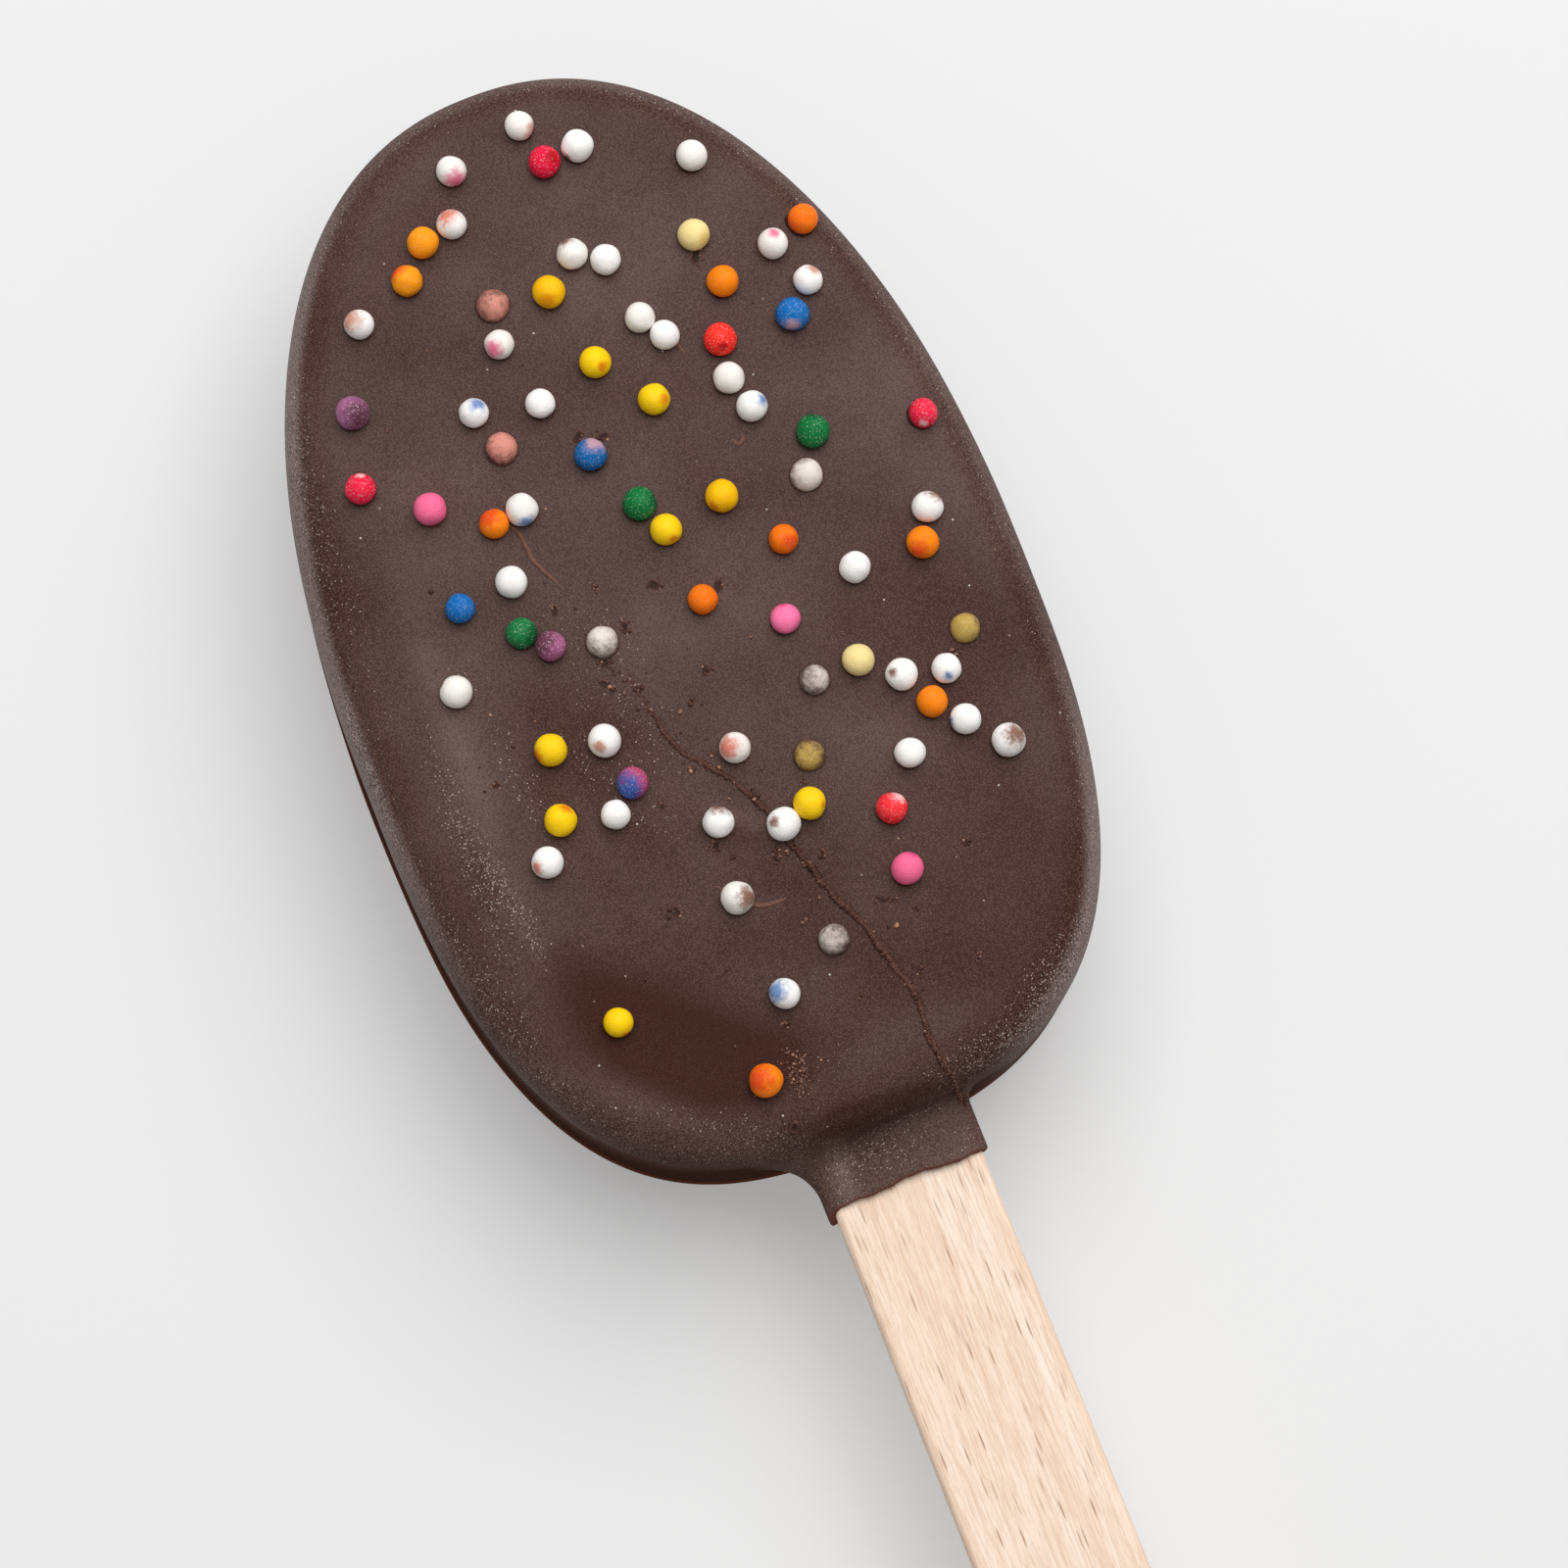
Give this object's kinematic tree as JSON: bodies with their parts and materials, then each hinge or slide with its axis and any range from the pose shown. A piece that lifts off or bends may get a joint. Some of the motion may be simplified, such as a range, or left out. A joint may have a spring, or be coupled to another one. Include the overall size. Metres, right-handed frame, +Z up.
{
  "type": "cakesicle",
  "caption": "Oval chocolate-coated cake bar on a flat wooden stick, with a chocolate collar and small round sugar sprinkles on its face, lying on its flat back.",
  "frame": {"origin": "centre of the bounding box's underside, on the surface that the bar lies on", "axes": "+Z up out of the sprinkled face, +Y along the bar to its round tip, the stick leaves towards -Y, +X to the right of the face"},
  "size_m": [0.044, 0.1212, 0.0202],
  "materials": {
    "chocolate": "satin dark chocolate with a fine dusty bloom",
    "beech": "plain sanded beech, unvarnished"
  },
  "bodies": {
    "root": {"coated_bar": "chocolate", "stick": "beech"}
  },
  "joints": []
}
